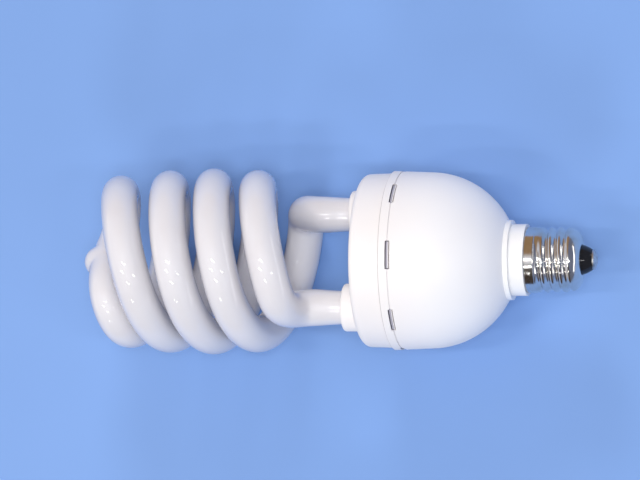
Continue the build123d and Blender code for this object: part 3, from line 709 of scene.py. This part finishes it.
class LAMP_OT_spiral_tube(bpy.types.Operator):
    """Winds the double spiral of coated glass, with its crown, nose and legs"""

    bl_idname = "lamp.spiral_tube"
    bl_label = "Spiral tube"
    bl_options = {"REGISTER", "UNDO"}

    def execute(self, context):
        settings = context.scene.lamp_tube
        line = limb_line(settings)
        limb = [(leaned(settings, point), radius) for point, radius in line]
        other = [(leaned(settings, Vector((point.x, -point.y, -point.z))), radius)
                 for point, radius in line]
        shape = swept_tube(other[:0:-1] + limb, settings.tube_radius)
        raise_nose(shape, limb[0][0].x, settings.tube_radius)
        mesh = into_row(shape, "spiral_glass")
        keep("spiral_glass", mesh, "phosphor_tube", coated_glass(settings), "spiral_tube")
        return {"FINISHED"}


# The screw cap

THREAD_START = 5.34 * MM
THREAD_TURNS = 3.25
THREAD_CLOCK = math.radians(90.0)
THREAD_FADE = math.radians(50.0)
BAND_LENGTH = 3.8 * MM
BAND_FLARE = 0.2 * MM
SHELL_SHOULDER = 5.8 * MM
SHELL_WALL = 0.35 * MM
SHELL_LIP = 0.15 * MM
# The opening for the glass ring
SHELL_EYE = 6.05 * MM
# Above 1 the groove is narrower than the crest beside it
GROOVE_SHARPNESS = 1.15
# What lies this close to the groove's floor or further in belongs to the inner wall
GROOVE_MARGIN = 0.05 * MM
# How finely the shell is divided, round it and along each stretch of its outline
SHELL_STEPS = 180
BAND_STEPS = 8
FLARE_STEPS = 2
THREAD_STEPS = 110
SHOULDER_STEPS = 20
INNER_STEPS = 8


def shell_outline(settings):
    """The screw shell's wall, before its thread is rolled in."""
    crest = BAND_RADIUS - BAND_FLARE
    band_end = SHELL_START + BAND_LENGTH
    flare_end = band_end + BAND_FLARE
    shoulder_x = SHELL_END - SHELL_SHOULDER
    bore = crest - settings.thread_depth - SHELL_WALL
    turn_centre = (shoulder_x, crest - SHELL_SHOULDER)
    inner_round = SHELL_SHOULDER - SHELL_WALL
    bore_x = shoulder_x + math.sqrt(inner_round ** 2 - (bore - turn_centre[1]) ** 2)
    bore_angle = math.atan2(bore - turn_centre[1], bore_x - shoulder_x)
    outline = [(SHELL_START, bore), (SHELL_START, BAND_RADIUS - SHELL_LIP),
               (SHELL_START + SHELL_LIP, BAND_RADIUS)]
    outline += straight((SHELL_START + 2 * SHELL_LIP, BAND_RADIUS), (band_end, BAND_RADIUS), BAND_STEPS)
    outline += straight((band_end, BAND_RADIUS), (flare_end, crest), FLARE_STEPS)
    outline += straight((flare_end, crest), (shoulder_x, crest), THREAD_STEPS)
    outline += arc(turn_centre, SHELL_SHOULDER, math.pi / 2, 0.0, SHOULDER_STEPS)
    outline += [(SHELL_END, SHELL_EYE + SHELL_LIP), (SHELL_END - SHELL_LIP, SHELL_EYE),
                (SHELL_END - SHELL_WALL, SHELL_EYE)]
    outline += arc(turn_centre, inner_round, 0.0, bore_angle, INNER_STEPS)
    outline += [(SHELL_START, bore)]
    return outline


def roll_thread(shape, settings):
    """Presses a rounded right-handed groove into the outer wall, fading at both of its ends."""
    groove_floor = BAND_RADIUS - BAND_FLARE - settings.thread_depth
    last_turn = math.tau * THREAD_TURNS
    for vertex in shape.verts:
        point = vertex.co
        radius = math.hypot(point.y, point.z)
        if radius < groove_floor + GROOVE_MARGIN or point.x < SHELL_START + BAND_LENGTH:
            continue
        clock = math.atan2(point.z, point.y) - THREAD_CLOCK
        ahead = (point.x - SHELL_START - THREAD_START) / settings.thread_pitch - clock / math.tau
        turn = clock + math.tau * round(ahead)
        offset = ahead - round(ahead)
        fade = (ease((turn + THREAD_FADE) / THREAD_FADE)
                * ease((last_turn + THREAD_FADE - turn) / THREAD_FADE))
        groove = (0.5 + 0.5 * math.cos(math.tau * offset)) ** GROOVE_SHARPNESS
        pressed = (radius - settings.thread_depth * fade * groove) / radius
        point.y *= pressed
        point.z *= pressed


class LAMP_OT_screw_shell(bpy.types.Operator):
    """Turns the metal shell and rolls its thread"""

    bl_idname = "lamp.screw_shell"
    bl_label = "Screw shell"
    bl_options = {"REGISTER", "UNDO"}

    def execute(self, context):
        settings = context.scene.lamp_cap
        shape = lathe(shell_outline(settings), SHELL_STEPS)
        roll_thread(shape, settings)
        bmesh.ops.recalc_face_normals(shape, faces=shape.faces)
        mesh = into_row(shape, "screw_shell")
        keep("screw_shell", mesh, "cap_metal", rolled_metal(settings), "cap_shell")
        return {"FINISHED"}


def finish_nodes(finish, *names):
    """Gives carried-over CAD nodes their finish."""
    for name in names:
        material_slots = frame["nodes"][name].material_slots
        if not material_slots:
            raise RuntimeError(f"{name} has no material slot to fill")
        for material_slot in material_slots:
            material_slot.material = finish


class LAMP_OT_housing(bpy.types.Operator):
    """Finishes the cover, the bowl and the collar"""

    bl_idname = "lamp.housing"
    bl_label = "Housing"
    bl_options = {"REGISTER", "UNDO"}

    def execute(self, context):
        settings = context.scene.lamp_housing
        finish_nodes(moulded_plastic(settings), "tube_cover", "ballast_bowl")
        finish_nodes(polished_plastic(settings), "cap_collar")
        return {"FINISHED"}


class LAMP_OT_cap_end(bpy.types.Operator):
    """Finishes the black glass ring and the contact"""

    bl_idname = "lamp.cap_end"
    bl_label = "Cap end"
    bl_options = {"REGISTER", "UNDO"}

    def execute(self, context):
        settings = context.scene.lamp_cap
        finish_nodes(black_glass(settings), "cap_insulator")
        finish_nodes(tinned_contact(settings), "centre_contact")
        return {"FINISHED"}


class LAMP_OT_ballast(bpy.types.Operator):
    """Finishes the board and everything on it by the record's material slots"""

    bl_idname = "lamp.ballast"
    bl_label = "Ballast"
    bl_options = {"REGISTER", "UNDO"}

    def execute(self, context):
        finishes = ballast_finishes(context.scene.lamp_ballast)
        for entry in frame["record"]["subparts"]:
            if entry["material_slot"] in finishes:
                finish_nodes(finishes[entry["material_slot"]], entry["node"])
        return {"FINISHED"}


# The studio

VIEW_MIDDLE = -19.04 * MM
VIEW_SIDE = 8.5 * MM
FLOOR_HALF = 1.25
# What the soft lights and the strips of window light face
LIGHT_TARGET = Vector((0.0, 0.0, 0.04))
# Soft lights that no glass shows: their places, and their shares of the main light's power
SOFT_LIGHTS = (("key", (0.30, -0.03, 1.30), 0.95), ("back_fill", (-0.10, 1.10, 0.62), 0.85),
               ("front_fill", (0.0, -1.10, 0.62), 0.75))
SOFT_SIZE = (0.32, 0.28)
# Long low strips that draw a thin bright line along both edges of the glass, with their tints
STRIPS = (("right_strip", (1.30, 0.10, 0.26), 0.42, (1.0, 1.0, 1.0)),
          ("left_strip", (-1.30, 0.10, 0.20), 0.22, (1.0, 0.93, 0.84)))
STRIP_SIZE = (1.70, 0.10)
# Small lamps in the ceiling; each gives one bright spot on every strand and a line on the legs
LAMP_SPOTS = ((-0.27, 0.02), (0.80, -0.12), (-0.66, -0.27), (-0.27, -0.50), (-0.42, -1.25))
SPOT_HEIGHT = 1.20
SPOT_SIZE = (0.36, 0.045)
SENSOR_WIDTH = 36.0
VIEW_REACH = 100.0
# The room that lights the lamp and is reflected in it, and the plain backdrop that the view shows
FRONT_WALL = (0.06, 0.045, 0.035)
BACK_WALL = (0.42, 0.27, 0.15)
LEFT_WALL = (0.74, 0.73, 0.80)
RIGHT_WALL = (0.20, 0.23, 0.34)
CEILING = (0.86, 0.88, 0.95)
BACKDROP = (0.60, 0.71, 0.93)
ROOM_STRENGTH = 0.75


def add_light(name, place, size, power, tint=(1.0, 1.0, 1.0)):
    """A rectangular light that shines straight down."""
    light = bpy.data.lights.new(name, "AREA")
    light.shape = "RECTANGLE"
    light.size, light.size_y = size
    light.energy = power
    light.color = tint
    lamp = bpy.data.objects.new(name, light)
    lamp.location = place
    bpy.context.scene.collection.objects.link(lamp)
    return lamp


def face_target(lamp):
    """Turns a light from straight down to the lamp's middle."""
    lamp.rotation_euler = (LIGHT_TARGET - lamp.location).to_track_quat("-Z", "Y").to_euler()


def add_camera(settings):
    """The camera looks almost straight down on the lamp, from the side of its cap."""
    tilt = settings.camera_tilt
    sideways = Vector((math.cos(tilt), 0.0, -math.sin(tilt)))
    upwards = Vector((0.0, 1.0, 0.0))
    backwards = Vector((math.sin(tilt), 0.0, math.cos(tilt)))
    place = Vector((VIEW_MIDDLE, VIEW_SIDE, 0.0)) + backwards * settings.camera_distance
    rolled = Matrix.Rotation(-settings.camera_roll, 3, "Z")
    turned = Matrix((sideways, upwards, backwards)).transposed() @ rolled
    camera_data = bpy.data.cameras.new("view")
    camera_data.lens = settings.lens
    camera_data.sensor_width = SENSOR_WIDTH
    camera_data.clip_end = VIEW_REACH
    camera = bpy.data.objects.new("view", camera_data)
    camera.matrix_world = LAMP_PLACE @ Matrix.Translation(place) @ turned.to_4x4()
    bpy.context.scene.collection.objects.link(camera)
    bpy.context.scene.camera = camera


def add_sky():
    """A pale room with a warm wall behind and a dark one in front, shown as a plain backdrop."""
    world = bpy.data.worlds.new("studio_light")
    bpy.context.scene.world = world
    recipe = Recipe(world)
    direction = recipe.node("ShaderNodeTexCoord", output="Generated")
    sideways = recipe.part(direction, "X")
    across = recipe.part(direction, "Y")
    height = recipe.part(direction, "Z")
    walls = recipe.blend(recipe.between(across, low=-0.15, high=0.15), FRONT_WALL, BACK_WALL)
    with_left = recipe.blend(recipe.between(0 - sideways, low=0.30, high=0.65), walls, LEFT_WALL)
    with_right = recipe.blend(recipe.between(sideways, low=0.15, high=0.50), with_left, RIGHT_WALL)
    room = recipe.blend(recipe.between(height, low=0.90, high=0.985), with_right, CEILING)
    seen = recipe.node("ShaderNodeLightPath", output="Is Camera Ray")
    shown = recipe.blend(seen, room, BACKDROP)
    light = recipe.node("ShaderNodeBackground", inputs={"Color": shown, "Strength": ROOM_STRENGTH})
    recipe.node("ShaderNodeOutputWorld", inputs={"Surface": light})


class LAMP_OT_studio(bpy.types.Operator):
    """Lays the pale floor and sets the lights and the camera"""

    bl_idname = "lamp.studio"
    bl_label = "Studio"
    bl_options = {"REGISTER", "UNDO"}

    def execute(self, context):
        settings = context.scene.lamp_studio
        shape = bmesh.new()
        bmesh.ops.create_grid(shape, x_segments=1, y_segments=1, size=FLOOR_HALF)
        mesh = bpy.data.meshes.new("floor")
        shape.to_mesh(mesh)
        shape.free()
        mesh.materials.append(floor_finish(settings))
        floor = bpy.data.objects.new("floor", mesh)
        bpy.context.scene.collection.objects.link(floor)
        add_sky()
        for name, place, share in SOFT_LIGHTS:
            lamp = add_light(name, place, SOFT_SIZE, settings.key_power * share)
            lamp.visible_glossy = False
            face_target(lamp)
        for name, place, share, tint in STRIPS:
            face_target(add_light(name, place, STRIP_SIZE, settings.key_power * share, tint))
        for index, (x, y) in enumerate(LAMP_SPOTS):
            add_light(f"spot_{index + 1}", (x, y, SPOT_HEIGHT), SPOT_SIZE, settings.spot_power)
        context.scene.view_settings.view_transform = "Standard"
        add_camera(settings)
        return {"FINISHED"}


class LAMP_PT_sidebar(bpy.types.Panel):
    """Lists the steps that dress the lamp"""

    bl_idname = "LAMP_PT_sidebar"
    bl_label = "Energy saving lamp"
    bl_space_type = "VIEW_3D"
    bl_region_type = "UI"
    bl_category = "Lamp"

    def draw(self, context):
        layout = self.layout
        for group, steps in SIDEBAR:
            column = layout.column(align=True)
            settings = getattr(context.scene, group)
            for name in settings.__annotations__:
                column.prop(settings, name)
            for step in steps:
                column.operator(step.bl_idname)


SIDEBAR = (
    ("lamp_tube", (LAMP_OT_spiral_tube,)),
    ("lamp_cap", (LAMP_OT_screw_shell, LAMP_OT_cap_end)),
    ("lamp_housing", (LAMP_OT_housing,)),
    ("lamp_ballast", (LAMP_OT_ballast,)),
    ("lamp_studio", (LAMP_OT_studio,)),
)
GROUPS = {
    "lamp_tube": TubeSettings,
    "lamp_housing": HousingSettings,
    "lamp_cap": CapSettings,
    "lamp_ballast": BallastSettings,
    "lamp_studio": StudioSettings,
}
CLASSES = (*GROUPS.values(), *(step for _, steps in SIDEBAR for step in steps), LAMP_PT_sidebar)


def register():
    for kind in CLASSES:
        bpy.utils.register_class(kind)
    for name, kind in GROUPS.items():
        setattr(bpy.types.Scene, name, PointerProperty(type=kind))


def unregister():
    for name in GROUPS:
        delattr(bpy.types.Scene, name)
    for kind in reversed(CLASSES):
        bpy.utils.unregister_class(kind)


def main():
    register()
    bpy.ops.lamp.spiral_tube()
    bpy.ops.lamp.screw_shell()
    bpy.ops.lamp.cap_end()
    bpy.ops.lamp.housing()
    bpy.ops.lamp.ballast()
    bpy.ops.lamp.studio()
    bpy.context.view_layer.update()


if __name__ == "__main__":
    main()
